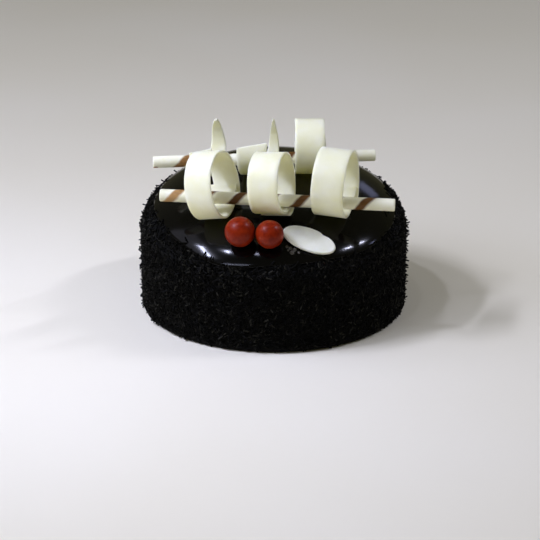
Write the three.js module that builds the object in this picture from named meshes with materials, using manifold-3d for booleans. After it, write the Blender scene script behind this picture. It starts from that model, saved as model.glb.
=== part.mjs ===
// Round chocolate cake with a mirror-glazed top, a side covered in chocolate sprinkles,
// six wrapped strips of white chocolate, two striped sticks, two balls and an oval plaque.
// Millimetres, +Z up. The origin is the centre of the flat underside; the front is at -Y.
import * as THREE from 'three';
import { mergeVertices } from 'three/addons/utils/BufferGeometryUtils.js';
import Module from 'manifold-3d';

const wasm = await Module();
wasm.setup();

// ---------------------------------------------------------------- driving dimensions
const CAKE_RADIUS = 94.4;            // glaze surface at the shoulder
const WALL_HEIGHT = 58;              // upright part of the side
const DOME_RISE = 39.5;              // from the top of the wall to the crown
const DOME_ROUNDNESS = 2.2;          // superellipse exponent of the top, 2 is an ellipse
const TOP_SLOPE = 0.139;             // the top falls towards the front by this much per mm
const FOOT_CHAMFER = 1.2;
const GLAZE_THICKNESS = 1.4;
const TOUCH_GAP = 0.35;              // kept between pieces that rest on each other

const SPRINKLED_TO_FRONT = 14;       // how far up the dome the sprinkles reach, in degrees of
const SPRINKLED_TO_BACK = 25;        // the dome's profile angle, at the front and at the back
const SPRINKLED_TO_LEFT = 2.2;       // that much higher on the left, and lower on the right
const BUMP_HEIGHT = 1.3;             // relief of the sprinkle coat
const COAT_SINK = 0.7;               // the coat's lowest points lie this far inside the radius
const WALL_ROWS = 11;
const COAT_ROWS = 4;
const TOP_ROWS = 7;
const CAKE_SEGMENTS = 120;
const GLAZE_SEGMENTS = 60;

const SPRINKLE_RADIUS = 0.7;
const SPRINKLE_LENGTH = 7;
const STRAY_SPRINKLES = 60;          // those that stand clear of the coat

const STRIP_THICKNESS = 1.5;
const STRIP_STEP = 9;                // degrees of wrap for each facet
const SEAM_OVERLAP = 35;             // degrees that the outer end laps over the inner end
const SEAM_EASE = 62;                // degrees in which the inner end runs out to full radius
const SEAM_SHIFT = 2;                // the outer end lies this far to the right of the inner end

// Closed rings: centre of the hole on plan, radius, width of the strip, turn about Z, lean to
// the right, and where the inner end shows, in degrees up (+) or down (-) from the rear.
const RINGS = [
  { name: 'ring_front_left', x: -42.6, y: -50.5, radius: 23.3, width: 19.3,
    yaw: 21, lean: -10, seam: -16 },
  { name: 'ring_front_middle', x: -1.6, y: -55.4, radius: 21.9, width: 21,
    yaw: 16.6, lean: -5, seam: -63 },
  { name: 'ring_front_right', x: 41.6, y: -49.8, radius: 23.4, width: 22.3,
    yaw: 15.5, lean: 2, seam: -23 },
  { name: 'ring_back_right', x: 25.2, y: 1.8, radius: 19.4, width: 20.6,
    yaw: 0, lean: 0, seam: 0 },
];

// Open curls: as the rings, but cut at the front and drawn out to a narrow rounded tongue.
// turn is the degrees from the tongue's tip to the cut end, cut those that the slanting cut
// takes to cross the strip, and tongue the width at the foot of the tongue, the degrees from
// its tip to there and how fast it widens.
const CURLS = [
  { name: 'curl_back_left', x: -48.5, y: 4.8, radius: 20.4, width: 16.3, yaw: 13, lean: -4,
    turn: 261, cut: 9, tongue: [11.6, 90, 0.6] },
  { name: 'curl_back_middle', x: -10.4, y: -1.6, radius: 20.6, width: 21.3, yaw: 13.6, lean: 0,
    turn: 273, cut: 15, tongue: [8.9, 99, 0.85] },
];
const CURL_RIGHT = 10.25;            // right edge of the curls' strips, from their centre
const CURL_WIDENS = 60;              // degrees in which the tongue runs out to the full strip
const CURL_SWAY = 2;                 // the tongue's tip lies this far to the left of its foot
const TIP_WIDTH = 0.9;               // width left at the tip and at the point of the cut
const TONGUE_REACH = 66;             // degrees from the rear of the curl up to the tip

const STICK_DIMPLE = 3;              // depth of the hollow in each end
const STICK_WALL = 1.3;

const PLAQUE_LENGTH = 37.5;
const PLAQUE_WIDTH = 19;
const PLAQUE_THICKNESS = 2.2;
const PLAQUE_EDGE = 0.5;

const STICKS = [
  { name: 'stick_front', length: 161, radius: 4.3, x: 2.1, y: -54.4, z: 96.95,
    yaw: -5.8, lean: 0.5 },
  { name: 'stick_back', length: 157.5, radius: 4.2, x: -6.5, y: 3.2, z: 107.6,
    yaw: 5.7, lean: 0 },
];

const BALLS = [
  { name: 'ball_left', radius: 10.4, x: -22.9, y: -79.2 },
  { name: 'ball_right', radius: 9.7, x: -2.9, y: -82.0 },
];

const PLAQUE = { x: 23.7, y: -74.1, yaw: 10, lean: 18, pitch: 29 };
const PLAQUE_LIFT = 0.35;            // its rim stands off, because the dome swells beneath it

// ---------------------------------------------------------------- the cake's form
const TOP_HEIGHT = WALL_HEIGHT + DOME_RISE;
const degrees = (angle) => THREE.MathUtils.degToRad(angle);

function seededRandom(seed) {
  let state = seed;
  return () => {
    state = (state * 1664525 + 1013904223) % 4294967296;
    return state / 4294967296;
  };
}

// Everything is sheared by its height, so that the top falls gently towards the front.
function sloped(x, y, z) {
  return new THREE.Vector3(x, y, z * (1 + (TOP_SLOPE * y) / TOP_HEIGHT));
}

// A point of the dome. angle runs from 0 at the shoulder to 90 at the crown, and offset
// moves the surface out (+) or in (-).
function domePoint(azimuth, angle, offset) {
  const power = 2 / DOME_ROUNDNESS;
  const level = degrees(Math.min(angle, 90));
  const radius = (CAKE_RADIUS + offset) * Math.max(Math.cos(level), 0) ** power;
  const height = WALL_HEIGHT + (DOME_RISE + offset) * Math.sin(level) ** power;
  return sloped(radius * Math.cos(azimuth), radius * Math.sin(azimuth), height);
}

function wallPoint(azimuth, height, offset) {
  const radius = CAKE_RADIUS + offset;
  return sloped(radius * Math.cos(azimuth), radius * Math.sin(azimuth), height);
}

// Height of the glaze over a point of the plan.
function topHeight(x, y) {
  const reach = Math.min(Math.hypot(x, y) / CAKE_RADIUS, 1);
  const rise = (1 - reach ** DOME_ROUNDNESS) ** (1 / DOME_ROUNDNESS);
  return sloped(x, y, WALL_HEIGHT + DOME_RISE * rise).z;
}

// The edge of the sprinkles lies low at the front and rises towards the back.
function coatEdge(azimuth) {
  const towardsFront = (1 - Math.sin(azimuth)) / 2;
  const waver = 0.8 * Math.sin(7 * azimuth) + 0.6 * Math.sin(11 * azimuth + 1);
  return SPRINKLED_TO_FRONT + (SPRINKLED_TO_BACK - SPRINKLED_TO_FRONT)
    * (1 - towardsFront ** 2.5) - SPRINKLED_TO_LEFT * Math.cos(azimuth) + waver;
}

// ---------------------------------------------------------------- closed meshes
function geometryOf(points, triangles) {
  const geometry = new THREE.BufferGeometry();
  geometry.setAttribute('position',
    new THREE.Float32BufferAttribute(points.flatMap((p) => [p.x, p.y, p.z]), 3));
  geometry.setIndex(triangles);
  return geometry;
}

// A closed body of revolution-like rings: rows of points from the first pole to the last.
function ringBody(firstPole, rows, lastPole) {
  const count = rows[0].length;
  const points = [firstPole, ...rows.flat(), lastPole];
  const last = points.length - 1;
  const at = (row, i) => 1 + row * count + (i % count);
  const triangles = [];
  for (let i = 0; i < count; i += 1) {
    triangles.push(0, at(0, i + 1), at(0, i));
    triangles.push(last, at(rows.length - 1, i), at(rows.length - 1, i + 1));
    for (let row = 0; row + 1 < rows.length; row += 1) {
      const [a, b, c, d] = [at(row, i), at(row, i + 1), at(row + 1, i + 1), at(row + 1, i)];
      if ((i + row) % 2) {
        triangles.push(a, b, c, a, c, d);
      } else {
        triangles.push(a, b, d, b, c, d);
      }
    }
  }
  return geometryOf(points, triangles);
}

function manifoldOf(geometry) {
  const bare = geometry.clone();
  bare.deleteAttribute('normal');
  bare.deleteAttribute('uv');
  const merged = mergeVertices(bare, 1e-4);
  return new wasm.Manifold(new wasm.Mesh({
    numProp: 3,
    vertProperties: new Float32Array(merged.attributes.position.array),
    triVerts: new Uint32Array(merged.index.array),
  }));
}

function geometryFromManifold(solid) {
  const mesh = solid.getMesh();
  const geometry = new THREE.BufferGeometry();
  geometry.setAttribute('position', new THREE.BufferAttribute(mesh.vertProperties, 3));
  geometry.setIndex(new THREE.BufferAttribute(mesh.triVerts, 1));
  return geometry;
}

function azimuths(count) {
  return Array.from({ length: count }, (_, i) => (2 * Math.PI * i) / count);
}

// ---------------------------------------------------------------- cake with its sprinkles
function cakeBody() {
  const random = seededRandom(11);
  const around = azimuths(CAKE_SEGMENTS);
  const bump = () => random() * BUMP_HEIGHT - COAT_SINK;
  const rows = [around.map((a) => wallPoint(a, 0, -COAT_SINK - FOOT_CHAMFER))];
  for (let row = 0; row < WALL_ROWS; row += 1) {
    const height = FOOT_CHAMFER + ((WALL_HEIGHT - FOOT_CHAMFER) * row) / WALL_ROWS;
    rows.push(around.map((a) => wallPoint(a, height, bump())));
  }
  for (let row = 0; row <= COAT_ROWS; row += 1) {
    const share = row / COAT_ROWS;
    rows.push(around.map((a) => domePoint(a, share * coatEdge(a), bump())));
  }
  const underGlaze = -GLAZE_THICKNESS - TOUCH_GAP - 0.1;
  rows.push(around.map((a) => domePoint(a, coatEdge(a) + 1.2, underGlaze)));
  for (let row = 1; row < TOP_ROWS; row += 1) {
    rows.push(around.map((a) => domePoint(a, topAngle(a, row), underGlaze)));
  }
  return ringBody(new THREE.Vector3(0, 0, 0), rows, domePoint(0, 90, underGlaze));
}

// Rows over the top, shared by the cake and the glaze so that one follows the other.
function topAngle(azimuth, row) {
  const from = coatEdge(azimuth) + 2.6;
  return from + (90 - from) * (row / TOP_ROWS);
}

// Rods that stick out of the coat, spread evenly round the side with the seeded draw.
function straySprinkles() {
  const random = seededRandom(29);
  const golden = Math.PI * (3 - Math.sqrt(5));
  const rods = [];
  for (let i = 0; i < STRAY_SPRINKLES; i += 1) {
    const azimuth = golden * i + 0.2 * random();
    const height = 5 + (WALL_HEIGHT + 4) * ((i + random()) / STRAY_SPRINKLES);
    const onWall = Math.min(height, WALL_HEIGHT);
    const onDome = ((height - onWall) / DOME_RISE) * 57;
    const foot = onDome > 0 ? domePoint(azimuth, onDome, -0.6) : wallPoint(azimuth, onWall, -0.6);
    const out = new THREE.Vector3(Math.cos(azimuth), Math.sin(azimuth), 0);
    const along = new THREE.Vector3(-Math.sin(azimuth), Math.cos(azimuth), 0);
    const turn = 2 * Math.PI * random();
    const direction = out.multiplyScalar(0.25 + 0.3 * random())
      .addScaledVector(along, Math.cos(turn))
      .add(new THREE.Vector3(0, 0, Math.sin(turn)))
      .normalize();
    const rod = new THREE.CylinderGeometry(SPRINKLE_RADIUS, SPRINKLE_RADIUS, SPRINKLE_LENGTH, 6);
    rod.applyQuaternion(new THREE.Quaternion()
      .setFromUnitVectors(new THREE.Vector3(0, 1, 0), direction));
    rod.translate(foot.x, foot.y, foot.z);
    rods.push(rod);
  }
  return rods;
}

function sprinkledCake() {
  let solid = manifoldOf(cakeBody());
  for (const rod of straySprinkles()) {
    solid = solid.add(manifoldOf(rod));
  }
  return geometryFromManifold(solid);
}

// ---------------------------------------------------------------- glaze
function glazeCap() {
  const around = azimuths(GLAZE_SEGMENTS);
  const inner = [];
  const outer = [];
  for (let row = 1; row < TOP_ROWS; row += 1) {
    inner.unshift(around.map((a) => domePoint(a, topAngle(a, row), -GLAZE_THICKNESS)));
    outer.push(around.map((a) => domePoint(a, topAngle(a, row), 0)));
  }
  const lip = [
    around.map((a) => domePoint(a, topAngle(a, 0) + 0.8, -GLAZE_THICKNESS)),
    around.map((a) => domePoint(a, topAngle(a, 0), -GLAZE_THICKNESS / 2)),
    around.map((a) => domePoint(a, topAngle(a, 0) + 0.8, 0)),
  ];
  const rows = [...inner, ...lip, ...outer];
  return ringBody(domePoint(0, 90, -GLAZE_THICKNESS), rows, domePoint(0, 90, 0));
}

// ---------------------------------------------------------------- white chocolate strips
// A strip bent round the X axis. It starts at angle `start`, seen from +X with 0 at the rear
// and 90 at the top, and runs down, under and up by `turn` degrees. radiusAt gives its outer
// radius and edgesAt its left and right edge after so many degrees.
function bentStrip(start, turn, radiusAt, edgesAt) {
  const steps = Math.round(turn / STRIP_STEP);
  const points = [];
  const triangles = [];
  for (let i = 0; i <= steps; i += 1) {
    const run = (turn * i) / steps;
    const angle = degrees(start - run);
    const outside = radiusAt(run);
    const inside = outside - STRIP_THICKNESS;
    const [left, right] = edgesAt(run);
    for (const [x, r] of [[left, outside], [right, outside], [right, inside], [left, inside]]) {
      points.push(new THREE.Vector3(x, r * Math.cos(angle), r * Math.sin(angle)));
    }
  }
  for (let i = 0; i < steps; i += 1) {
    for (let corner = 0; corner < 4; corner += 1) {
      const a = 4 * i + corner;
      const b = 4 * i + ((corner + 1) % 4);
      triangles.push(a, b, b + 4, a, b + 4, a + 4);
    }
  }
  const end = 4 * steps;
  triangles.push(0, 2, 1, 0, 3, 2, end, end + 1, end + 2, end, end + 2, end + 3);
  return geometryOf(points, triangles);
}

// The inner end lies inside the outer end, and eases out to the full radius.
function ringStrip({ radius, width, seam }) {
  const tuck = STRIP_THICKNESS + TOUCH_GAP;
  const turn = 360 + SEAM_OVERLAP;
  const radiusAt = (run) => {
    const ease = THREE.MathUtils.smoothstep(run, SEAM_OVERLAP, SEAM_OVERLAP + SEAM_EASE);
    return radius - tuck * (1 - ease);
  };
  const edgesAt = (run) => {
    const shift = SEAM_SHIFT * THREE.MathUtils.smoothstep(run, turn - 90, turn);
    return [shift - width / 2, shift + width / 2];
  };
  return bentStrip(seam, turn, radiusAt, edgesAt);
}

// Runs from the tongue's tip down the rear to the cut end at the front. The tongue widens
// from its tip, and its left edge then sweeps out to the full width of the strip.
function curlStrip({ radius, width, turn, cut, tongue: [foot, length, power] }) {
  const edgesAt = (run) => {
    const narrow = foot * Math.min(run / length, 1) ** power;
    const sweep = THREE.MathUtils.smoothstep(run, length, length + CURL_WIDENS);
    const wide = (narrow + (width - foot) * sweep) * Math.min((turn - run) / cut, 1);
    const sway = CURL_SWAY * (1 - THREE.MathUtils.smoothstep(run, length / 3, length));
    const right = CURL_RIGHT - sway;
    return [right - Math.max(wide, TIP_WIDTH), right];
  };
  return bentStrip(TONGUE_REACH, turn, () => radius, edgesAt);
}

// ---------------------------------------------------------------- sticks, balls, plaque
function stick(length, radius) {
  const half = length / 2;
  const bore = radius - STICK_WALL;
  const bevel = 0.5;
  const profile = [
    [0, -half + STICK_DIMPLE], [bore, -half + STICK_DIMPLE], [bore, -half],
    [radius - bevel, -half], [radius, -half + bevel], [radius, half - bevel],
    [radius - bevel, half], [bore, half], [bore, half - STICK_DIMPLE], [0, half - STICK_DIMPLE],
  ].map(([r, along]) => new THREE.Vector2(r, along));
  const geometry = new THREE.LatheGeometry(profile, 18);
  geometry.rotateZ(-Math.PI / 2);
  return geometryFromManifold(manifoldOf(geometry));
}

function ball(radius) {
  const geometry = new THREE.IcosahedronGeometry(radius, 3);
  return geometryFromManifold(manifoldOf(geometry));
}

// An oval with a small chip in its far edge and softened rims.
function plaque() {
  const outline = Array.from({ length: 30 }, (_, i) => {
    const angle = (2 * Math.PI * i) / 30;
    const chip = 1 - 0.1 * Math.exp(-(((angle - degrees(62)) / 0.16) ** 2));
    return new THREE.Vector2(
      (PLAQUE_LENGTH / 2 - PLAQUE_EDGE) * Math.cos(angle) * chip,
      (PLAQUE_WIDTH / 2 - PLAQUE_EDGE) * Math.sin(angle) * chip,
    );
  });
  const geometry = new THREE.ExtrudeGeometry(new THREE.Shape(outline), {
    depth: PLAQUE_THICKNESS - 2 * PLAQUE_EDGE,
    bevelEnabled: true,
    bevelThickness: PLAQUE_EDGE,
    bevelSize: PLAQUE_EDGE,
    bevelSegments: 2,
  });
  return geometryFromManifold(manifoldOf(geometry));
}

// ---------------------------------------------------------------- assembly
function material(colour, roughness) {
  return new THREE.MeshStandardMaterial({ color: colour, roughness, metalness: 0 });
}

function named(name, geometry, look) {
  const mesh = new THREE.Mesh(geometry, look);
  mesh.name = name;
  return mesh;
}

// Turns a piece in place: pitch about X, then lean about Y, then yaw about Z.
function turned(mesh, yaw, lean, pitch) {
  mesh.rotation.set(degrees(pitch), degrees(lean), degrees(-yaw), 'ZYX');
  return mesh;
}

// Lowers a piece until its lowest point over the glaze is one touch gap above it.
function restOnTop(mesh, x, y) {
  mesh.position.set(x, y, 0);
  mesh.updateMatrix();
  const point = new THREE.Vector3();
  const positions = mesh.geometry.attributes.position;
  let clearance = Infinity;
  for (let i = 0; i < positions.count; i += 1) {
    point.fromBufferAttribute(positions, i).applyMatrix4(mesh.matrix);
    clearance = Math.min(clearance, point.z - topHeight(point.x, point.y));
  }
  mesh.position.z = TOUCH_GAP - clearance;
  return mesh;
}

const cake = new THREE.Group();
cake.add(named('cake', sprinkledCake(), material(0x120c0a, 0.6)));
cake.add(named('glaze', glazeCap(), material(0x0b0808, 0.08)));

for (const ring of RINGS) {
  const mesh = named(ring.name, ringStrip(ring), material(0xf0eddc, 0.35));
  cake.add(restOnTop(turned(mesh, ring.yaw, ring.lean, 0), ring.x, ring.y));
}
for (const curl of CURLS) {
  const mesh = named(curl.name, curlStrip(curl), material(0xe9e6d0, 0.35));
  cake.add(restOnTop(turned(mesh, curl.yaw, curl.lean, 0), curl.x, curl.y));
}
for (const { name, length, radius, x, y, z, yaw, lean } of STICKS) {
  const rod = named(name, stick(length, radius), material(0xf1ead8, 0.4));
  const mesh = turned(rod, -yaw, lean, 0);
  mesh.position.set(x, y, z);
  cake.add(mesh);
}
for (const { name, radius, x, y } of BALLS) {
  cake.add(restOnTop(named(name, ball(radius), material(0x9c2c1c, 0.25)), x, y));
}
const oval = named('plaque', plaque(), material(0xe4e4dc, 0.35));
restOnTop(turned(oval, PLAQUE.yaw, PLAQUE.lean, PLAQUE.pitch), PLAQUE.x, PLAQUE.y);
oval.position.z += PLAQUE_LIFT;
cake.add(oval);

export default cake;
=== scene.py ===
"""Round chocolate cake: mirror-glazed top, sprinkled side, white chocolate strips, striped
sticks, glossy balls and a blank oval plaque. Shapes are worked out in millimetres and
written to their meshes in metres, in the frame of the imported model."""
import math

import bpy
import numpy as np
from mathutils import Euler, Matrix, Quaternion, Vector, noise


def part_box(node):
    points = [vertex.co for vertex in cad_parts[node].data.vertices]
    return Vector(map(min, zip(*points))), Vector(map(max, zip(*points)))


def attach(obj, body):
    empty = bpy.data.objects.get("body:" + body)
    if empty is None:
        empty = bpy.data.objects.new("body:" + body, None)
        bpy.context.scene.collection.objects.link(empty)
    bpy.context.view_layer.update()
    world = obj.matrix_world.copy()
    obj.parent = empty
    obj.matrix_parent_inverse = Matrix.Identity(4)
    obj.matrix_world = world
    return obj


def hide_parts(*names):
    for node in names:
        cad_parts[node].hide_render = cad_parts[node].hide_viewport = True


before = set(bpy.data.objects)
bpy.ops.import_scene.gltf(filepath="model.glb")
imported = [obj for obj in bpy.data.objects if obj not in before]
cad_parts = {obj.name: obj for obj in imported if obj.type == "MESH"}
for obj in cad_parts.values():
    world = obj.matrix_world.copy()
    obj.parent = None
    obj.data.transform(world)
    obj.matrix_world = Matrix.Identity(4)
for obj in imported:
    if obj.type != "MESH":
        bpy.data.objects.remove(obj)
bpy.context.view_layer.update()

MM = 0.001
TAU = 2 * math.pi

# ---------------------------------------------------------------- sizes, as in the solids
# (millimetres and degrees; only the sprinkles' edge was fitted more closely here)
CAKE_RADIUS = 94.4          # glaze surface at the shoulder
WALL_HEIGHT = 58            # upright part of the side
DOME_RISE = 39.5            # from the top of the wall to the crown
DOME_ROUNDNESS = 2.2        # superellipse exponent of the top
TOP_SLOPE = 0.139           # fall of the crown's level for each mm towards the front
TOP_HEIGHT = WALL_HEIGHT + DOME_RISE
GLAZE_THICKNESS = 1.4

# how far up the dome the sprinkles reach, in degrees of its profile
SPRINKLED_TO_FRONT = 14
SPRINKLED_TO_BACK = 25
BACK_SPREAD = 2.5           # the higher this is, the sooner the edge rises behind the front
SPRINKLED_TO_LEFT = 2.2     # that much higher on the left, and lower on the right
FRONT_LAP = 4               # that much higher in front, and lower on both sides of there
FRONT_LAP_AT = math.radians(-72)
FRONT_LAP_WAVES = 4         # times that it would go up and down in one round
FRONT_LAP_FADE = 3          # the higher, the sooner it fades towards the back
RIGHT_LAP = 5               # that much higher round one place on the right
RIGHT_LAP_AT = math.radians(12)
RIGHT_LAP_FADE = 6          # the higher, the narrower
EDGE_WAVES = ((0.8, 7, 0), (0.6, 11, 1))    # height, times in one round, phase
GLAZE_EDGE = 2.6            # from the sprinkles' edge up to the glaze's own edge

STRIP_THICKNESS = 1.5
SEAM_OVERLAP = 35           # degrees
SEAM_EASE = 62              # degrees in which the strip then comes out to its full radius
SEAM_TUCK = 1.85            # how far the inner end lies inside the outer one
SEAM_SHIFT = 2              # the outer end lies this far to the right of the inner end
SEAM_SHIFT_TURN = 90        # degrees in which it moves there

# centre x and y, radius, full width, turn about Z, lean, where the inner end shows
RINGS = {
    "ring_front_left": (-42.6, -50.5, 23.3, 19.3, 21, -10, -16),
    "ring_front_middle": (-1.6, -55.4, 21.9, 21, 16.6, -5, -63),
    "ring_front_right": (41.6, -49.8, 23.4, 22.3, 15.5, 2, -23),
    "ring_back_right": (25.2, 1.8, 19.4, 20.6, 0, 0, 0),
}
# the same up to the lean, then degrees from the tongue's tip to the cut end, degrees of the
# slanting cut, and the tongue's width at its foot, its length and how fast it widens
CURLS = {
    "curl_back_left": (-48.5, 4.8, 20.4, 16.3, 13, -4, 261, 9, (11.6, 90, 0.6)),
    "curl_back_middle": (-10.4, -1.6, 20.6, 21.3, 13.6, 0, 273, 15, (8.9, 99, 0.85)),
}
CURL_RIGHT = 10.25          # right edge of the curls' strips, from their centre
CURL_WIDENS = 60            # degrees in which the tongue runs out to the full strip
CURL_SWAY = 2               # the tongue's tip lies this far to the left of its foot
TIP_WIDTH = 0.9
TONGUE_REACH = 66           # degrees from the rear of the curl up to the tip

# length, radius, centre, turn about Z, lean
STICKS = {
    "stick_front": (161, 4.3, (2.1, -54.4, 96.95), -5.8, 0.5),
    "stick_back": (157.5, 4.2, (-6.5, 3.2, 107.6), 5.7, 0),
}
STICK_DIMPLE = 3            # depth of the hollow in each end
STICK_WALL = 1.3
# radius, centre x and y
BALLS = {
    "ball_left": (10.4, -22.9, -79.2),
    "ball_right": (9.7, -2.9, -82.0),
}
PLAQUE_SIZE = (37.5, 19)    # its thickness is in PLAQUE_PROFILE
PLAQUE_PLACE = (23.7, -74.1)
PLAQUE_TURN = (29, 18, -10)  # pitch, lean and turn about Z
CHIP_AT = math.radians(62)  # round the plaque's edge
CHIP_SPREAD = 0.16          # radians
CHIP_DEPTH = 0.1            # share of the way from the edge to the middle
CHIP_FROM = 0.8             # share of the way out where it begins


# ---------------------------------------------------------------- the cake's form
def smoothstep(value, low, high):
    share = min(max((value - low) / (high - low), 0), 1)
    return share * share * (3 - 2 * share)


def sloped(x, y, z):
    """The whole cake is sheared by its height, so that its top falls towards the front."""
    return Vector((x, y, z * (1 + TOP_SLOPE * y / TOP_HEIGHT)))


def dome_point(azimuth, angle, offset):
    """A point of the top: angle is 0 at the shoulder and 90 at the crown."""
    power = 2 / DOME_ROUNDNESS
    level = math.radians(min(angle, 90))
    radius = (CAKE_RADIUS + offset) * max(math.cos(level), 0) ** power
    height = WALL_HEIGHT + (DOME_RISE + offset) * math.sin(level) ** power
    return sloped(radius * math.cos(azimuth), radius * math.sin(azimuth), height)


def wall_point(azimuth, height, offset):
    radius = CAKE_RADIUS + offset
    return sloped(radius * math.cos(azimuth), radius * math.sin(azimuth), height)


def top_height(x, y):
    """Height of the glaze over a point of the plan."""
    reach = min(math.hypot(x, y) / CAKE_RADIUS, 1)
    rise = (1 - reach ** DOME_ROUNDNESS) ** (1 / DOME_ROUNDNESS)
    return sloped(x, y, WALL_HEIGHT + DOME_RISE * rise).z


def top_normal(x, y, step=0.2):
    """Direction out of the glaze over a point of the plan."""
    slope_x = (top_height(x + step, y) - top_height(x - step, y)) / (2 * step)
    slope_y = (top_height(x, y + step) - top_height(x, y - step)) / (2 * step)
    return Vector((-slope_x, -slope_y, 1)).normalized()


def coat_edge(azimuth):
    """How far up the dome the sprinkles reach, in degrees of its profile."""
    towards_front = (1 - math.sin(azimuth)) / 2
    waver = sum(high * math.sin(times * azimuth + phase) for high, times, phase in EDGE_WAVES)
    front_wave = math.cos(FRONT_LAP_WAVES * (azimuth - FRONT_LAP_AT))
    waver += FRONT_LAP * towards_front ** FRONT_LAP_FADE * front_wave
    waver += RIGHT_LAP * max(math.cos(azimuth - RIGHT_LAP_AT), 0) ** RIGHT_LAP_FADE
    rise = (SPRINKLED_TO_BACK - SPRINKLED_TO_FRONT) * (1 - towards_front ** BACK_SPREAD)
    return SPRINKLED_TO_FRONT + rise - SPRINKLED_TO_LEFT * math.cos(azimuth) + waver


def direction(azimuth, level, flatness=1):
    """Unit vector at an azimuth and a level above the plan. flatness squashes its height."""
    across = math.cos(level)
    return Vector((across * math.cos(azimuth), across * math.sin(azimuth),
                   flatness * math.sin(level)))


def uneven(point, wavelength, seed=0.0):
    """Smooth noise from -1 to 1 over a point in millimetres."""
    return noise.noise(Vector(point) / wavelength + Vector((seed, seed * 1.7, -seed)))


# ---------------------------------------------------------------- meshes
def new_piece(name, points, faces, material=None):
    """A smooth mesh object from points in millimetres. Its place is in its mesh."""
    mesh = bpy.data.meshes.new(name)
    mesh.from_pydata([Vector(p) * MM for p in points], [], faces)
    mesh.update()
    mesh.polygons.foreach_set("use_smooth", [True] * len(mesh.polygons))
    if material:
        mesh.materials.append(material)
    piece = bpy.data.objects.new(name, mesh)
    bpy.context.scene.collection.objects.link(piece)
    return piece


def ring_faces(rows, count, first_pole=None, last_pole=None, start=0):
    """Quads between closed rows of points, and triangles to the poles."""
    def at(row, i):
        return start + row * count + i % count

    faces = []
    for i in range(count):
        if first_pole is not None:
            faces.append((first_pole, at(0, i + 1), at(0, i)))
        for row in range(rows - 1):
            faces.append((at(row, i), at(row, i + 1), at(row + 1, i + 1), at(row + 1, i)))
        if last_pole is not None:
            faces.append((last_pole, at(rows - 1, i), at(rows - 1, i + 1)))
    return faces


def ring_bodies(name, bodies, material):
    """Closed bodies of rings of points, each given as (first pole, rows, last pole)."""
    points = []
    faces = []
    for first_pole, rows, last_pole in bodies:
        start = len(points)
        points += [first_pole, *(p for row in rows for p in row), last_pole]
        faces += ring_faces(len(rows), len(rows[0]), start, len(points) - 1, start + 1)
    return new_piece(name, points, faces, material)


def ring_body(name, first_pole, rows, last_pole, material):
    return ring_bodies(name, [(first_pole, rows, last_pole)], material)


def shade_sharp(piece, angle=40):
    """Smooth shading, with edges kept sharp where faces meet at more than angle."""
    piece.data.set_sharp_from_angle(angle=math.radians(angle))


def put(piece, slot, *nodes):
    """Fixes a finished piece to the cake and hides the solids that it stands in for."""
    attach(piece, "root")
    if nodes:
        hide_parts(*nodes)


# ---------------------------------------------------------------- materials
GLAZE_IOR = 1.45
CHOCOLATE_IOR = 1.46
MILKY_DEPTH = (1.0, 1.0, 0.8)   # how deep red, green and blue light go, one to another


def linear(hex_colour):
    """sRGB hex to linear RGBA."""
    value = hex_colour.lstrip("#")
    parts = [int(value[i:i + 2], 16) / 255 for i in (0, 2, 4)]
    bent = [c / 12.92 if c <= 0.04045 else ((c + 0.055) / 1.055) ** 2.4 for c in parts]
    return (*bent, 1.0)


def feed(tree, node, inputs):
    """Fills a node's inputs with values, or links them to other nodes."""
    for name, value in inputs.items():
        socket = node.inputs[name]
        source = value.outputs[0] if isinstance(value, bpy.types.Node) else value
        if isinstance(source, bpy.types.NodeSocket):
            tree.links.new(source, socket)
        else:
            socket.default_value = source


def add(tree, kind, inputs=None, stops=(), **settings):
    """Adds a node, sets its own properties, its inputs and the stops of its colour ramp."""
    made = tree.nodes.new(kind)
    for name, value in settings.items():
        setattr(made, name, value)
    feed(tree, made, inputs or {})
    for _ in stops[2:]:
        made.color_ramp.elements.new(0.5)
    for stop, (position, colour) in enumerate(stops):
        made.color_ramp.elements[stop].position = position
        made.color_ramp.elements[stop].color = linear(colour)
    return made


def per_mm(size):
    """Scale of a noise whose blotches are about size millimetres across."""
    return 1 / (size * MM)


def new_material(name):
    """A material, its tree, its Principled shader and the piece's own coordinates."""
    material = bpy.data.materials.new(name)
    material.use_nodes = True
    tree = material.node_tree
    place = add(tree, "ShaderNodeTexCoord").outputs["Object"]
    return material, tree, tree.nodes["Principled BSDF"], place


def mirror_glaze():
    """Dark chocolate mirror glaze, poured. Gives the eye a near-black, wet-looking skin whose
    highlights have slightly wavering edges, because it follows the cake beneath."""
    material, tree, surface, place = new_material("mirror_glaze")
    cloud = add(tree, "ShaderNodeTexNoise", {"Vector": place, "Scale": per_mm(35)})
    tone = add(tree, "ShaderNodeValToRGB", {"Fac": cloud}, ((0.35, "#040404"), (0.7, "#080706")))
    wave = add(tree, "ShaderNodeTexNoise", {"Vector": place, "Scale": per_mm(22), "Detail": 1.0})
    swell = add(tree, "ShaderNodeBump", {"Height": wave, "Distance": 0.2 * MM})
    grain = add(tree, "ShaderNodeTexNoise", {"Vector": place, "Scale": per_mm(3)})
    ripple = add(tree, "ShaderNodeBump", {"Height": grain, "Distance": 0.01 * MM, "Normal": swell})
    feed(tree, surface, {"Base Color": tone, "IOR": GLAZE_IOR, "Specular IOR Level": 0.25,
                         "Roughness": 0.12, "Normal": ripple})
    return material


def chocolate_crumb_coat():
    """Dark chocolate under the sprinkles. Gives the eye the black gaps between them."""
    material, tree, surface, place = new_material("chocolate_crumb_coat")
    crumb = add(tree, "ShaderNodeTexNoise", {"Vector": place, "Scale": per_mm(1.4)})
    tone = add(tree, "ShaderNodeValToRGB", {"Fac": crumb}, ((0.3, "#010101"), (0.8, "#040302")))
    rough = add(tree, "ShaderNodeBump", {"Height": crumb, "Distance": 0.5 * MM})
    feed(tree, surface, {"Base Color": tone, "Roughness": 0.7, "Specular IOR Level": 0.1,
                         "Normal": rough})
    return material


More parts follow.
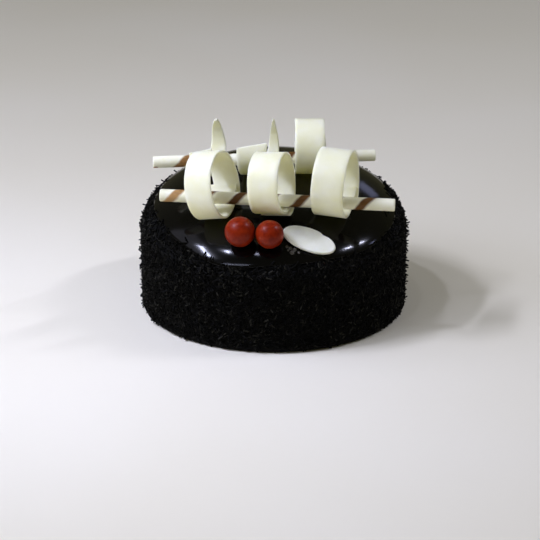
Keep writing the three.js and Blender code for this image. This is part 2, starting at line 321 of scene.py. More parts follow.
def chocolate_vermicelli():
    """Pressed dark chocolate vermicelli. Gives the eye short black rods, a few of them dusty
    grey, each with a dull streak of light. Its pits are drawn coarser than real ones, so that
    they show."""
    material, tree, surface, place = new_material("chocolate_vermicelli")
    shade = add(tree, "ShaderNodeAttribute", attribute_name="shade").outputs["Fac"]
    tone = add(tree, "ShaderNodeValToRGB", {"Fac": shade}, (
        (0.0, "#020202"), (0.55, "#050503"), (0.9, "#0d0c08"), (1.0, "#302f28")))
    patch = add(tree, "ShaderNodeTexNoise", {"Vector": place, "Scale": per_mm(1.5)})
    dull = add(tree, "ShaderNodeMapRange", {"Value": patch, "To Min": 0.36, "To Max": 0.6})
    pit = add(tree, "ShaderNodeTexNoise", {"Vector": place, "Scale": per_mm(0.7)})
    pressed = add(tree, "ShaderNodeBump", {"Height": pit, "Distance": 0.12 * MM})
    feed(tree, surface, {"Base Color": tone, "Roughness": dull, "Specular IOR Level": 0.06,
                         "Normal": pressed})
    return material


def white_chocolate():
    """Tempered white chocolate, spread thin and wrapped while soft. Gives the eye a white with
    a satin sheen, faint smears and a yellow depth where it is in shade. Its grain is drawn
    coarser than the real one, so that it shows."""
    material, tree, surface, place = new_material("white_chocolate")
    cloud = add(tree, "ShaderNodeTexNoise", {"Vector": place, "Scale": per_mm(14), "Detail": 4.0})
    tone = add(tree, "ShaderNodeValToRGB", {"Fac": cloud}, ((0.3, "#eeebc4"), (0.7, "#f6f4d9")))
    patch = add(tree, "ShaderNodeTexNoise", {"Vector": place, "Scale": per_mm(6)})
    satin = add(tree, "ShaderNodeMapRange", {"Value": patch, "To Min": 0.34, "To Max": 0.48})
    smear = add(tree, "ShaderNodeTexNoise", {"Vector": place, "Scale": per_mm(9)})
    spread = add(tree, "ShaderNodeBump", {"Height": smear, "Distance": 0.08 * MM})
    grain = add(tree, "ShaderNodeTexNoise", {"Vector": place, "Scale": per_mm(0.8)})
    fine = add(tree, "ShaderNodeBump", {"Height": grain, "Distance": 0.015 * MM, "Normal": spread})
    feed(tree, surface, {
        "Base Color": tone, "IOR": CHOCOLATE_IOR, "Roughness": satin, "Subsurface Weight": 1.0,
        "Subsurface Radius": MILKY_DEPTH, "Subsurface Scale": 2 * MM, "Normal": fine})
    return material


SMUDGE_CORE = 1.2           # radius in which a smudge is full
SMUDGE_EDGE = 2.2           # radius at which it has faded out
STRIPE_FADE = 0.02          # share of the stick in which a stripe runs out


def stripe_mask(tree, split, bleed, length, stripe, ends):
    """1 in the winding stripe and 0 beside it, with edges that waver. split gives the share of
    the length as X and the turns round the stick as Y."""
    pitch, start = stripe
    first, last = ends
    turns = add(tree, "ShaderNodeMath", {0: split.outputs["X"], 1: length / pitch, 2: start},
                operation="MULTIPLY_ADD")
    wound = add(tree, "ShaderNodeMath", {0: turns, 1: split.outputs["Y"]}, operation="ADD")
    shaken = add(tree, "ShaderNodeMath", {0: bleed, 1: 0.10, 2: wound}, operation="MULTIPLY_ADD")
    phase = add(tree, "ShaderNodeMath", {0: shaken}, operation="FRACT")
    band = add(tree, "ShaderNodeValToRGB", {"Fac": phase}, (
        (0.30, "#000000"), (0.38, "#ffffff"), (0.61, "#ffffff"), (0.72, "#000000")))
    kept = add(tree, "ShaderNodeValToRGB", {"Fac": split.outputs["X"]}, (
        (first, "#000000"), (first + STRIPE_FADE, "#ffffff"), (last - STRIPE_FADE, "#ffffff"),
        (last, "#000000")))
    return add(tree, "ShaderNodeMath", {0: band, 1: kept}, operation="MULTIPLY")


def smudge_mask(tree, wrap, length, radius, smudge):
    """1 in a small round spot of the stick's surface, fading to 0."""
    along, turns = smudge
    away = add(tree, "ShaderNodeVectorMath", {0: wrap, 1: (along / length, turns, 0)},
               operation="SUBTRACT")
    spread = add(tree, "ShaderNodeVectorMath", {0: away, 1: (length, TAU * radius, 0)},
                 operation="MULTIPLY")
    reach = add(tree, "ShaderNodeVectorMath", {0: spread}, operation="LENGTH").outputs["Value"]
    return add(tree, "ShaderNodeMapRange", {
        "Value": reach, "From Min": SMUDGE_CORE, "From Max": SMUDGE_EDGE,
        "To Min": 1.0, "To Max": 0.0})


def striped_chocolate(name, length, radius, stripe, ends, smudge, browns):
    """White chocolate stick with a milk chocolate stripe rolled in. Gives the eye a cream rod
    with winding brown bands whose edges bleed a little. stripe is the millimetres of stick for
    one turn and where round the stick it starts, ends the share of the stick where it shows,
    and smudge a spot, in millimetres along and turns round, which may lie off the stick."""
    material, tree, surface, place = new_material(name)
    wrap = add(tree, "ShaderNodeUVMap", uv_map="wrap")
    split = add(tree, "ShaderNodeSeparateXYZ", {"Vector": wrap})
    bleed = add(tree, "ShaderNodeTexNoise", {"Vector": place, "Scale": per_mm(5)})
    shown = stripe_mask(tree, split, bleed, length, stripe, ends)
    spot = smudge_mask(tree, wrap, length, radius, smudge)
    marked = add(tree, "ShaderNodeMath", {0: shown, 1: spot}, operation="MAXIMUM")
    streak = add(tree, "ShaderNodeTexNoise", {"Vector": place, "Scale": per_mm(3)})
    along = add(tree, "ShaderNodeMath", {0: streak, 1: 0.35, 2: split.outputs["X"]},
                operation="MULTIPLY_ADD")
    brown = add(tree, "ShaderNodeValToRGB", {"Fac": along}, (
        (0.22, browns[0]), (0.45, browns[1]), (0.8, browns[2])))
    cloud = add(tree, "ShaderNodeTexNoise", {"Vector": place, "Scale": per_mm(8)})
    cream = add(tree, "ShaderNodeValToRGB", {"Fac": cloud}, ((0.3, "#efecca"), (0.7, "#f6f3da")))
    tone = add(tree, "ShaderNodeMix", {"Factor": marked, 6: cream, 7: brown}, data_type="RGBA")
    rolled = add(tree, "ShaderNodeBump", {"Height": bleed, "Distance": 0.06 * MM})
    feed(tree, surface, {
        "Base Color": tone.outputs[2], "IOR": CHOCOLATE_IOR, "Specular IOR Level": 0.25,
        "Roughness": 0.45, "Subsurface Weight": 0.35, "Subsurface Radius": MILKY_DEPTH,
        "Subsurface Scale": 1.5 * MM, "Normal": rolled})
    return material


def red_brown_shell():
    """Crisp ball panned in red-brown cocoa butter. Gives the eye a waxy shell, faintly mottled,
    with small pits and soft highlights."""
    material, tree, surface, place = new_material("red_brown_shell")
    mottle = add(tree, "ShaderNodeTexNoise", {
        "Vector": place, "Scale": per_mm(3.5), "Detail": 4.0, "Distortion": 0.5})
    tone = add(tree, "ShaderNodeValToRGB", {"Fac": mottle}, (
        (0.3, "#6a1806"), (0.5, "#7c2008"), (0.72, "#8a290b")))
    pit = add(tree, "ShaderNodeTexNoise", {"Vector": place, "Scale": per_mm(1.3)})
    pits = add(tree, "ShaderNodeBump", {"Height": pit, "Distance": 0.02 * MM})
    lumps = add(tree, "ShaderNodeBump", {"Height": mottle, "Distance": 0.02 * MM, "Normal": pits})
    feed(tree, surface, {"Base Color": tone, "Specular IOR Level": 0.13, "Roughness": 0.3,
                         "Normal": lumps})
    return material


def glaze_drop_painted_glint():
    """Set drops of the same glaze. Their grey-brown colour, far lighter than the glaze's own, is a
    painted highlight: it makes the small wet beads show as bright dots.
    """
    material, tree, surface, _ = new_material("glaze_drop_painted_glint")
    # painted highlight: a base colour far lighter than the glaze's near-black
    feed(tree, surface, {"Base Color": linear("#4a463e"), "IOR": GLAZE_IOR,
                         "Specular IOR Level": 1.0, "Roughness": 0.2})
    return material


def plaque_chocolate():
    """Moulded white chocolate oval, blank. Gives the eye a cool off-white, almost matt, with
    faint wipe marks."""
    material, tree, surface, place = new_material("plaque_chocolate")
    cloud = add(tree, "ShaderNodeTexNoise", {"Vector": place, "Scale": per_mm(7), "Detail": 4.0})
    tone = add(tree, "ShaderNodeValToRGB", {"Fac": cloud}, ((0.3, "#eae9d3"), (0.7, "#f3f3e2")))
    wiped = add(tree, "ShaderNodeTexNoise", {"Vector": place, "Scale": per_mm(3)})
    marks = add(tree, "ShaderNodeBump", {"Height": wiped, "Distance": 0.05 * MM})
    feed(tree, surface, {
        "Base Color": tone, "IOR": CHOCOLATE_IOR, "Roughness": 0.42, "Subsurface Weight": 0.2,
        "Subsurface Radius": (1.0, 0.9, 0.5), "Subsurface Scale": 1.5 * MM, "Normal": marks})
    return material


def pale_table():
    """Matt pale table top, lacquered. Gives the eye a quiet ground."""
    material, tree, surface, place = new_material("pale_table")
    cloud = add(tree, "ShaderNodeTexNoise", {"Vector": place, "Scale": per_mm(400)})
    tone = add(tree, "ShaderNodeValToRGB", {"Fac": cloud}, ((0.3, "#efe8d0"), (0.7, "#f4eeda")))
    feed(tree, surface, {"Base Color": tone, "Roughness": 0.6})
    return material


# ---------------------------------------------------------------- cake, sprinkles and glaze
AROUND = 240                # points round the cake
COAT_ROWS = 10
CORE_INSET = 1.5            # how deep the cake itself lies under the sprinkles' outside
CORE_BUMP = 0.5
FOOT_INSET = 3.2            # the same at the very foot, which is drawn in
FOOT_RISE = 1.2
CORE_TOP = GLAZE_THICKNESS + 0.5    # the same under the glaze
GLAZE_LIP = 1.2             # degrees by which the glaze's rounded edge stands out
GLAZE_ROWS = 40
GLAZE_SWELL = 0.2
GLAZE_RIPPLE = 0.05
BED_DEPTH = 1.1             # how deep the middles of the lowest sprinkles lie
BED_FOOT = 3.1              # keeps their ends off the table
BED_TOP = 56
BED_LAP = 1.6               # degrees by which they lap over their edge
MARGIN_ROWS = (1.0, 2.6, 4.6)   # degrees above that edge

ROD_LENGTH = 4.9
ROD_RADIUS = 0.48
ROD_SIDES = 6
ROD_THICKNESS = (0.85, 1.12)    # share of the radius, drawn for each rod
ROD_STRETCH = (0.55, 1.1)       # share of the length


def azimuths(count):
    return [TAU * i / count for i in range(count)]


def top_angle(azimuth, share):
    """Rows over the glazed top: share is 0 at the glaze's edge and 1 at the crown."""
    low = coat_edge(azimuth) + GLAZE_EDGE
    return low + (90 - low) * share


def cake_core(material):
    """The cake under its sprinkles and glaze, closed below by its flat underside."""
    around = azimuths(AROUND)

    def bumpy(azimuth, height):
        bump = CORE_BUMP * uneven(wall_point(azimuth, height, 0), wavelength=4)
        return wall_point(azimuth, height, bump - CORE_INSET)

    rows = [[wall_point(a, 0, -FOOT_INSET) for a in around]]
    for height in np.linspace(FOOT_RISE, WALL_HEIGHT, 24)[:-1]:
        rows.append([bumpy(a, height) for a in around])
    for share in np.linspace(0, 1, COAT_ROWS):
        rows.append([dome_point(a, share * coat_edge(a), -CORE_INSET) for a in around])
    for share in np.linspace(0, 1, 12)[:-1]:
        rows.append([dome_point(a, top_angle(a, share), -CORE_TOP) for a in around])
    crown = dome_point(0, 90, -CORE_TOP)
    return ring_body("cake_core", Vector((0, 0, 0)), rows, crown, material)


def glaze_cap(material):
    """The poured skin. Its outer face swells and sinks by a fraction of a millimetre."""
    around = azimuths(AROUND)
    shares = np.linspace(0, 1, GLAZE_ROWS)[:-1]

    def outer(azimuth, share):
        point = dome_point(azimuth, top_angle(azimuth, share), 0)
        swell = GLAZE_SWELL * uneven(point, wavelength=30)
        ripple = GLAZE_RIPPLE * uneven(point, wavelength=11, seed=3)
        return point + Vector((0, 0, (swell + ripple) * smoothstep(share, 0, 0.08)))

    inner = [[dome_point(a, top_angle(a, s), -GLAZE_THICKNESS) for a in around]
             for s in shares[::4]]
    lip = [dome_point(a, top_angle(a, 0) - GLAZE_LIP, -GLAZE_THICKNESS / 2) for a in around]
    rows = [*inner[::-1], lip, *[[outer(a, s) for a in around] for s in shares]]
    low_crown = dome_point(0, 90, -GLAZE_THICKNESS)
    return ring_body("glaze_skin", low_crown, rows, outer(0, 1), material)


def open_surface(name, rows):
    """A surface that carries sprinkles and isn't kept."""
    points = [p for row in rows for p in row]
    return new_piece(name, points, ring_faces(len(rows), AROUND))


def sprinkled_wall():
    """What the sprinkles are set in: the wall and the lower edge of the dome."""
    around = azimuths(AROUND)
    rows = [[wall_point(a, height, -BED_DEPTH) for a in around]
            for height in np.linspace(BED_FOOT, BED_TOP, 12)]
    for share in np.linspace(0.05, 1, COAT_ROWS):
        rows.append([dome_point(a, share * (coat_edge(a) + BED_LAP), -BED_DEPTH)
                     for a in around])
    return open_surface("sprinkled_wall", rows)


def glaze_margin():
    """The edge of the glaze, where some sprinkles have strayed on to it."""
    around = azimuths(AROUND)
    rows = [[dome_point(a, coat_edge(a) + above, 0.0) for a in around] for above in MARGIN_ROWS]
    return open_surface("glaze_margin", rows)


def scatter_sockets(tree):
    """Names what the tree is given and what it gives, and returns the given values."""
    new_socket = tree.interface.new_socket
    new_socket("Surface", in_out="INPUT", socket_type="NodeSocketGeometry")
    for name in ("Rods per square metre", "Rod length", "Rod radius", "Lowest tilt",
                 "Highest tilt", "Lowest lift", "Highest lift"):
        new_socket(name, in_out="INPUT", socket_type="NodeSocketFloat")
    new_socket("Seed", in_out="INPUT", socket_type="NodeSocketInt")
    new_socket("Rods", in_out="OUTPUT", socket_type="NodeSocketGeometry")
    return add(tree, "NodeGroupInput").outputs


def scatter_draws(tree, given):
    """What chance decides for each rod. Each draw has its own seed, counted on from Seed."""
    ranges = {
        "lift": (given["Lowest lift"], given["Highest lift"]),
        "shade": (0.0, 1.0),
        "tilt": (given["Lowest tilt"], given["Highest tilt"]),
        "heading": (0.0, TAU),
        "thickness": ROD_THICKNESS,
        "stretch": ROD_STRETCH,
    }
    draws = {}
    for count, (name, (low, high)) in enumerate(ranges.items(), 1):
        seed = add(tree, "ShaderNodeMath", {0: given["Seed"], 1: float(count)})
        draw = add(tree, "FunctionNodeRandomValue", {2: low, 3: high, "Seed": seed},
                   data_type="FLOAT")
        draws[name] = draw.outputs[1]
    return draws


def scatter_tree(material):
    """Geometry Nodes: rods scattered over a surface, each turned and tilted at random."""
    tree = bpy.data.node_groups.new("scatter_vermicelli", "GeometryNodeTree")
    given = scatter_sockets(tree)
    draws = scatter_draws(tree, given)
    points = add(tree, "GeometryNodeDistributePointsOnFaces", {
        "Mesh": given["Surface"], "Density": given["Rods per square metre"],
        "Seed": given["Seed"]})
    lift = add(tree, "ShaderNodeVectorMath", {
        0: points.outputs["Normal"], "Scale": draws["lift"]}, operation="SCALE")
    lifted = add(tree, "GeometryNodeSetPosition", {"Geometry": points, "Offset": lift})
    shaded = add(tree, "GeometryNodeStoreNamedAttribute", {
        "Geometry": lifted, "Name": "shade", "Value": draws["shade"]},
        data_type="FLOAT", domain="POINT")
    tilt = add(tree, "ShaderNodeMath", {0: math.radians(90), 1: draws["tilt"]},
               operation="SUBTRACT")
    angles = add(tree, "ShaderNodeCombineXYZ", {"Y": tilt, "Z": draws["heading"]})
    spin = add(tree, "FunctionNodeEulerToRotation", {"Euler": angles})
    turned = add(tree, "FunctionNodeRotateRotation", {
        "Rotation": points.outputs["Rotation"], "Rotate By": spin}, rotation_space="LOCAL")
    rod = add(tree, "GeometryNodeMeshCylinder", {
        "Vertices": ROD_SIDES, "Radius": given["Rod radius"], "Depth": given["Rod length"]})
    size = add(tree, "ShaderNodeCombineXYZ", {
        "X": draws["thickness"], "Y": draws["thickness"], "Z": draws["stretch"]})
    rods = add(tree, "GeometryNodeInstanceOnPoints", {
        "Points": shaded, "Instance": rod, "Rotation": turned, "Scale": size})
    real = add(tree, "GeometryNodeRealizeInstances", {"Geometry": rods})
    dressed = add(tree, "GeometryNodeSetMaterial", {"Geometry": real, "Material": material})
    add(tree, "NodeGroupOutput", {"Rods": dressed})
    return tree


def scatter(name, ground, tree, material, density, tilts, lifts, seed):
    """Bakes one layer of rods to a plain mesh. tilts are in radians, lifts in millimetres."""
    carrier = bpy.data.objects.new(name + "_carrier", ground.data.copy())
    bpy.context.scene.collection.objects.link(carrier)
    modifier = carrier.modifiers.new("scatter", "NODES")
    modifier.node_group = tree
    sockets = {item.name: item.identifier for item in tree.interface.items_tree
               if item.in_out == "INPUT"}
    values = {
        "Rods per square metre": float(density), "Rod length": ROD_LENGTH * MM,
        "Rod radius": ROD_RADIUS * MM, "Lowest tilt": tilts[0], "Highest tilt": tilts[1],
        "Lowest lift": lifts[0] * MM, "Highest lift": lifts[1] * MM, "Seed": seed}
    for key, value in values.items():
        modifier[sockets[key]] = value
    evaluated = carrier.evaluated_get(bpy.context.evaluated_depsgraph_get())
    mesh = bpy.data.meshes.new_from_object(evaluated)
    bpy.data.objects.remove(carrier)
    mesh.materials.clear()
    mesh.materials.append(material)
    piece = bpy.data.objects.new(name, mesh)
    bpy.context.scene.collection.objects.link(piece)
    return piece


# rods per square metre, lowest and highest tilt (radians), lowest and highest lift (mm), seed
LAYERS = {
    "sprinkles_lying": (205000, (-0.1, 0.15), (0.0, 0.5), 3),
    "sprinkles_crossed": (190000, (-0.05, 0.25), (0.35, 0.85), 5),
    "sprinkles_tilted": (115000, (0.1, 0.55), (0.4, 0.9), 8),
    "sprinkles_stray": (26000, (0.35, 1.15), (0.8, 1.9), 21),
}
EDGE_LAYER = (16000, (-0.03, 0.2), (0.4, 0.8), 34)

# plan place, heading and tilt (degrees) of sprinkles that lie loose on the glaze
LOOSE_SPRINKLES = (
    (-42.2, -79.6, 60, 35), (-34.6, -85.1, 80, 50), (-82.5, -30.0, 12, 8),
    (-46.5, -75.8, 70, 20), (78.8, -24.0, 140, 15), (-60.0, -60.5, 100, 10),
)
# share of a rod's length from its middle, and of its radius: its ends are rounded off
ROD_PROFILE = ((-0.5, 0.7), (-0.46, 1), (0.46, 1), (0.5, 0.7))


def loose_rod(x, y, heading, tilt):
    """One sprinkle that rests on the glaze, as (first pole, rows, last pole)."""
    turn = Euler((0, math.radians(90 - tilt), math.radians(heading))).to_matrix()
    lift = ROD_RADIUS + ROD_LENGTH / 2 * math.sin(math.radians(tilt))
    centre = Vector((x, y, top_height(x, y))) + top_normal(x, y) * lift

    def at(along, out, azimuth=0):
        return centre + turn @ Vector((out * math.cos(azimuth), out * math.sin(azimuth),
                                       ROD_LENGTH * along))

    rows = [[at(along, ROD_RADIUS * share, a) for a in azimuths(8)]
            for along, share in ROD_PROFILE]
    return at(-0.5, 0), rows, at(0.5, 0)


def loose_sprinkles(material):
    bodies = [loose_rod(*values) for values in LOOSE_SPRINKLES]
    return ring_bodies("sprinkles_loose", bodies, material)


def make_cake():
    crumb = chocolate_crumb_coat()
    vermicelli = chocolate_vermicelli()
    put(cake_core(crumb), "sprinkled_cake", "cake")
    put(glaze_cap(mirror_glaze()), "chocolate_glaze", "glaze")
    wall = sprinkled_wall()
    margin = glaze_margin()
    tree = scatter_tree(vermicelli)
    for name, values in LAYERS.items():
        put(scatter(name, wall, tree, vermicelli, *values), "sprinkled_cake", "cake")
    edge = scatter("sprinkles_edge", margin, tree, vermicelli, *EDGE_LAYER)
    put(edge, "sprinkled_cake", "cake")
    put(loose_sprinkles(vermicelli), "sprinkled_cake", "cake")
    for ground in (wall, margin):
        bpy.data.objects.remove(ground)


# ---------------------------------------------------------------- white chocolate strips
EDGE_ROUND = 0.2            # bevel of the strips' long edges
ACROSS = 9                  # points across the strip's width
STRIP_STEP = 3              # degrees for each facet
STRIP_WAVER = 0.15          # how far its edges waver
STRIP_SWELL = 0.2           # how far its surface is out of round
STRIP_SHARP = 50            # edges steeper than this many degrees stay sharp


def strip_section(left, right, outside, inside):
    """(x, r) round the strip's cross section, its long edges rounded."""
    bevel = min(EDGE_ROUND, (right - left) / 3)
    xs = np.linspace(left + bevel, right - bevel, ACROSS)
    outer = [(x, outside) for x in xs]
    inner = [(x, inside) for x in xs[::-1]]
    right_side = [(right, outside - bevel), (right, inside + bevel)]
    left_side = [(left, inside + bevel), (left, outside - bevel)]
    return outer + right_side + inner + left_side


def bent_strip(name, start, turn, radius_at, edges_at, material, seed):
    """A strip bent round the X axis, as in the solids, with a slightly uneven wrap."""
    steps = round(turn / STRIP_STEP)
    points = []
    for i in range(steps + 1):
        run = turn * i / steps
        angle = math.radians(start - run)
        outside = radius_at(run)
        left, right = edges_at(run)
        left += STRIP_WAVER * uneven((run / 3, 0, 0), 6, seed)
        right += STRIP_WAVER * uneven((run / 3, 9, 0), 6, seed)
        for x, r in strip_section(left, right, outside, outside - STRIP_THICKNESS):
            r += STRIP_SWELL * uneven((x, run / 2.5, 0), 16, seed)
            points.append((x, r * math.cos(angle), r * math.sin(angle)))
    count = len(points) // (steps + 1)
    faces = ring_faces(steps + 1, count)
    first_end = list(range(count))
    last_end = [steps * count + i for i in first_end]
    faces += [tuple(first_end[::-1]), tuple(last_end)]
    return new_piece(name, points, [face[::-1] for face in faces], material)


def ring_strip(name, radius, width, seam, material, seed):
    """A closed ring: the outer end laps over the inner one and lies a little to its right."""
    turn = 360 + SEAM_OVERLAP

    def radius_at(run):
        return radius - SEAM_TUCK * (1 - smoothstep(run, SEAM_OVERLAP, SEAM_OVERLAP + SEAM_EASE))

    def edges_at(run):
        shift = SEAM_SHIFT * smoothstep(run, turn - SEAM_SHIFT_TURN, turn)
        return shift - width / 2, shift + width / 2

    return bent_strip(name, seam, turn, radius_at, edges_at, material, seed)


def curl_strip(name, radius, width, turn, cut, tongue, material, seed):
    """An open curl, from its tongue's tip down the rear to the cut end at the front."""
    foot, length, power = tongue

    def edges_at(run):
        narrow = foot * min(run / length, 1) ** power
        sweep = smoothstep(run, length, length + CURL_WIDENS)
        wide = (narrow + (width - foot) * sweep) * min((turn - run) / cut, 1)
        right = CURL_RIGHT - CURL_SWAY * (1 - smoothstep(run, length / 3, length))
        return right - max(wide, TIP_WIDTH), right

    return bent_strip(name, TONGUE_REACH, turn, lambda run: radius, edges_at, material, seed)


def set_down(piece, turns, x, y, node):
    """Turns a piece about X, then Y, then Z, and sets it down where its solid stands."""
    matrix = Euler([math.radians(turn) for turn in turns], "XYZ").to_matrix().to_4x4()
    piece.data.transform(matrix)
    lowest = min(v.co.z for v in piece.data.vertices)
    piece.data.transform(Matrix.Translation((x * MM, y * MM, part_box(node)[0].z - lowest)))
    return piece


def put_strip(piece, x, y, yaw, lean, node):
    """Finishes a strip and stands it in its place."""
    shade_sharp(piece, STRIP_SHARP)
    put(set_down(piece, (0, lean, -yaw), x, y, node), "white_chocolate", node)


def make_strips():
    material = white_chocolate()
    for seed, (node, values) in enumerate(RINGS.items()):
        x, y, radius, width, yaw, lean, seam = values
        piece = ring_strip(node + "_strip", radius, width, seam, material, seed)
        put_strip(piece, x, y, yaw, lean, node)
    for seed, (node, values) in enumerate(CURLS.items(), len(RINGS)):
        x, y, radius, width, yaw, lean, *form = values
        piece = curl_strip(node + "_strip", radius, width, *form, material, seed)
        put_strip(piece, x, y, yaw, lean, node)


# ---------------------------------------------------------------- sticks
STICK_SIDES = 48
STICK_ROWS = 90
STICK_WOBBLE = 0.1          # how far its thickness wavers along it
STICK_GRAIN = 0.04

# millimetres for one turn of the stripe and its start, where along the stick it shows, a
# smudge, and its browns from left to right
STRIPES = {
    "stick_front": ((21.7, 0.54), (-0.1, 0.965), (-9.0, 0.7), ("#b48d59", "#55340c", "#6a461e")),
    "stick_back": ((24.0, 0.08), (0.05, 0.86), (1.8, 0.66), ("#a07848", "#6e4a20", "#60401a")),
}


def stick_profile(length, radius):
    """(r, along) from the bottom of one end's hollow over the outside to that of the other."""
    half = length / 2
    bottom = -half + STICK_DIMPLE
    bore = radius - STICK_WALL
    end = [(0.4, bottom), (bore - 0.3, bottom), (bore, bottom - 0.4), (bore, -half + 0.4),
           (bore + 0.3, -half), (radius - 0.45, -half), (radius, -half + 0.5)]
    body = [(radius, along) for along in np.linspace(-half + 1.5, half - 1.5, STICK_ROWS)]
    return end + body + [(r, -along) for r, along in end[::-1]]


def wind_map(piece, points, length):
    """The UV map "wrap": the share of the stick's length, and the turns round it. The last
    two points are the middles of its ends, and take the place of a neighbour."""
    poles = len(points) - 2
    wrap = piece.data.uv_layers.new(name="wrap")
    for face in piece.data.polygons:
        indices = [piece.data.loops[loop].vertex_index for loop in face.loop_indices]
        steps = [index % STICK_SIDES for index in indices]
        across_the_seam = max(steps) - min(steps) > STICK_SIDES / 2
        for loop, index, step in zip(face.loop_indices, indices, steps):
            if index >= poles:
                step = steps[0] if steps[0] != step else steps[1]
            if across_the_seam and step < STICK_SIDES / 2:
                step += STICK_SIDES
            wrap.data[loop].uv = (points[index][0] / length + 0.5, step / STICK_SIDES)


def stick(name, length, radius, material, seed):
    """A rolled stick along X with a hollow in each end."""
    profile = stick_profile(length, radius)
    points = []
    for r, along in profile:
        outside = r > radius - STICK_WALL
        wobble = STICK_WOBBLE * uneven((along, 0, 0), 12, seed) if outside else 0
        for angle in azimuths(STICK_SIDES):
            near = (along, 6 * math.cos(angle), 6 * math.sin(angle))
            out = r + wobble + STICK_GRAIN * uneven(near, wavelength=4)
            points.append((along, out * math.cos(angle), out * math.sin(angle)))
    bottom = length / 2 - STICK_DIMPLE
    points += [(-bottom, 0, 0), (bottom, 0, 0)]
    poles = (len(points) - 2, len(points) - 1)
    piece = new_piece(name, points, ring_faces(len(profile), STICK_SIDES, *poles), material)
    wind_map(piece, points, length)
    return piece


def make_sticks():
    for seed, (node, values) in enumerate(STICKS.items()):
        length, radius, centre, yaw, lean = values
        material = striped_chocolate("striped_" + node, length, radius, *STRIPES[node])
        piece = stick(node + "_roll", length, radius, material, seed)
        turn = Euler((0, math.radians(lean), math.radians(yaw)), "XYZ").to_matrix().to_4x4()
        turn.translation = Vector(centre) * MM
        piece.data.transform(turn)
        shade_sharp(piece)
        put(piece, "striped_stick", node)


# ---------------------------------------------------------------- balls, plaque and drops
BALL_ROWS = 48
BALL_SIDES = 64
BALL_INSET = 0.1            # leaves the swelling inside the solid's size
BALL_SWELL = 0.12
BALL_GRAIN = 0.02


def ball(name, radius, material, seed):
    """A panned ball, a little out of round."""
    def shell(azimuth, level):
        way = direction(azimuth, level)
        swell = (BALL_SWELL * uneven(way * 10, 6, seed)
                 + BALL_GRAIN * uneven(way * 10, 2.2, seed))
        return way * (radius - BALL_INSET + swell)

    around = azimuths(BALL_SIDES)
    levels = [math.pi * i / BALL_ROWS - math.pi / 2 for i in range(1, BALL_ROWS)]
    rows = [[shell(a, level) for a in around] for level in levels]
    return ring_body(name, shell(0, -math.pi / 2), rows, shell(0, math.pi / 2), material)


def make_balls():
    material = red_brown_shell()
    for seed, (node, (radius, x, y)) in enumerate(BALLS.items()):
        piece = ball(node + "_shell", radius, material, seed)
        put(set_down(piece, (0, 0, 0), x, y, node), "red_brown_ball", node)


# share of the oval and height, from the underside round the rim to the flat middle
PLAQUE_PROFILE = (
    (0.3, 0.0), (0.6, 0.0), (0.9, 0.0), (0.965, 0.05), (0.99, 0.3), (1.0, 0.9), (0.998, 1.5),
    (0.985, 1.9), (0.965, 2.1), (0.94, 2.2), (0.905, 2.15), (0.875, 1.95), (0.84, 1.85),
    (0.6, 1.85), (0.3, 1.85))
PLAQUE_SIDES = 120
PLAQUE_FLAT = 1.85
PLAQUE_RAGGED = 0.006       # how uneven its outline is, as a share of its size


def make_plaque():
    """An oval with a soft raised rim and a small chip in its far edge."""
    length, width = PLAQUE_SIZE
    around = azimuths(PLAQUE_SIDES)

    def rim(azimuth, share, height):
        away = (azimuth - CHIP_AT) / CHIP_SPREAD
        chip = 1 - CHIP_DEPTH * math.exp(-away * away) * smoothstep(share, CHIP_FROM, 1.0)
        near = (30 * math.cos(azimuth), 30 * math.sin(azimuth), 0)
        ragged = 1 + PLAQUE_RAGGED * uneven(near, wavelength=5)
        return ((length / 2) * share * chip * ragged * math.cos(azimuth),
                (width / 2) * share * chip * ragged * math.sin(azimuth), height)

    rows = [[rim(a, share, height) for a in around] for share, height in PLAQUE_PROFILE]
    piece = ring_body("plaque_plate", (0, 0, 0), rows, (0, 0, PLAQUE_FLAT), plaque_chocolate())
    put(set_down(piece, PLAQUE_TURN, *PLAQUE_PLACE, "plaque"), "white_plaque", "plaque")


# plan place and radius of the drops of glaze squeezed out under the plaque's near edge
BEADS = ((12.2, -82.5, 1.7), (8.9, -78.9, 1.2), (11.2, -79.8, 1.4), (14.0, -80.6, 1.5),
         (16.8, -82.0, 1.1), (9.7, -81.2, 0.9))
BEAD_FLATNESS = 0.75


def bead(x, y, radius):
    """One drop on the glaze, as (first pole, rows, last pole)."""
    upright = top_normal(x, y).to_track_quat("Z", "Y")
    foot = Vector((x, y, top_height(x, y)))

    def drop(azimuth, level):
        return foot + upright @ (direction(azimuth, level, BEAD_FLATNESS) * radius)

    levels = [math.radians(level) for level in range(-60, 90, 15)]
    rows = [[drop(a, level) for a in azimuths(24)] for level in levels]
    return drop(0, -math.pi / 2), rows, drop(0, math.pi / 2)


def make_beads():
    bodies = [bead(*values) for values in BEADS]
    put(ring_bodies("glaze_beads", bodies, glaze_drop_painted_glint()), "chocolate_glaze")


# ---------------------------------------------------------------- floor, lights and camera
FLOOR_HALF = 4000


def make_floor():
    half = FLOOR_HALF
    corners = [(-half, -half, 0), (half, -half, 0), (half, half, 0), (-half, half, 0)]
    new_piece("table_top", corners, [(0, 1, 2, 3)], pale_table())


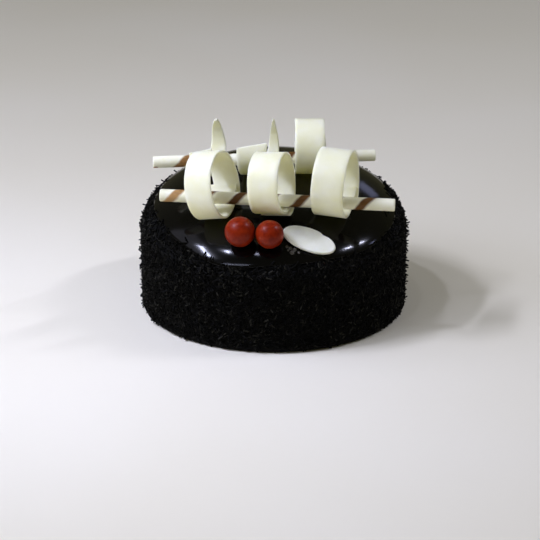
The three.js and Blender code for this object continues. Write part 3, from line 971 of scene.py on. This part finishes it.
# Each lamp but the first two is named for the reflection that it makes in the glaze. What it
# is aimed at (mm), azimuth from the front (+ to the right), elevation and turn in its own
# plane (degrees), distance, width and height (m), power (W) and colour
LIGHTS = {
    "fill_left": ((0, -30, 95), -69, 39, 0, 0.35, 0.38, 0.13, 0.95, "#d2d9ff"),
    "sheen_left": ((-60, -50, 75), -95, 45, 0, 1.3, 0.9, 0.6, 1.3, "#e6e6ff"),
    "streak_left": ((-46, -74, 67), -79, 51, -21, 1.6, 0.5, 0.07, 14.5, "#dbe0ff"),
    "arc_front": ((-23, -88, 62), -37, 46, 28, 1.6, 0.55, 0.02, 1.4, "#d9dfff"),
    "spot_left": ((-31, -79, 69), -72, 66, 0, 1.7, 0.09, 0.07, 4, "#dbe0ff"),
    "spot_top": ((-11, -83, 69), -38, 77, 0, 1.7, 0.06, 0.09, 0.8, "#dbe0ff"),
    "strip_right": ((54, -67, 69), 96, 49, -45, 1.8, 0.46, 0.025, 9, "#e2e5ff"),
    "panel_right": ((67, -58, 67), 102, 33, 0, 2.0, 0.12, 0.10, 0.7, "#c6ccff"),
    "panel_back_right": ((67, -3, 87), 157, 27, 0, 2.2, 0.32, 0.25, 0.42, "#c6ccff"),
}


def make_lamp(name, aim, azimuth, elevation, roll, distance, width, height, power, colour):
    """A rectangular soft lamp. One that only fills the shade makes no reflections, because the
    glaze would show its outline."""
    data = bpy.data.lights.new(name, "AREA")
    data.shape = "RECTANGLE"
    data.size = width
    data.size_y = height
    data.energy = power
    data.color = linear(colour)[:3]
    turn = math.radians(azimuth)
    rise = math.radians(elevation)
    level = math.cos(rise)
    way = Vector((math.sin(turn) * level, -math.cos(turn) * level, math.sin(rise)))
    lamp = bpy.data.objects.new(name, data)
    lamp.location = Vector(aim) * MM + way * distance
    own_turn = Quaternion((0, 0, 1), math.radians(roll))
    lamp.rotation_euler = (way.to_track_quat("Z", "Y") @ own_turn).to_euler()
    lamp.visible_camera = False
    lamp.visible_glossy = not name.startswith("fill")
    bpy.context.scene.collection.objects.link(lamp)


def make_lights():
    """A dim, warm light from all round, and the lamps."""
    world = bpy.data.worlds.new("dim_surroundings")
    world.use_nodes = True
    feed(world.node_tree, world.node_tree.nodes["Background"],
         {"Color": linear("#d8d3a4"), "Strength": 0.15})
    bpy.context.scene.world = world
    for name, values in LIGHTS.items():
        make_lamp(name, *values)


CAMERA_PLACE = (-0.00263, -1.3956, 0.5740)      # metres: 1.5 m away
CAMERA_TILT = 68.5          # from straight down, so that it looks down at 21.5 degrees
CAMERA_SENSOR = 36
CAMERA_LENS = 139.0


def make_camera():
    """Looks at the front from the photograph's viewing angle."""
    data = bpy.data.cameras.new("view")
    data.sensor_width = CAMERA_SENSOR
    data.lens = CAMERA_LENS
    camera = bpy.data.objects.new("view", data)
    camera.location = CAMERA_PLACE
    camera.rotation_euler = (math.radians(CAMERA_TILT), 0, 0)
    bpy.context.scene.collection.objects.link(camera)
    bpy.context.scene.camera = camera


make_camera()
make_floor()
make_lights()
make_cake()
make_strips()
make_sticks()
make_balls()
make_plaque()
make_beads()

bpy.context.scene.view_settings.view_transform = "Standard"
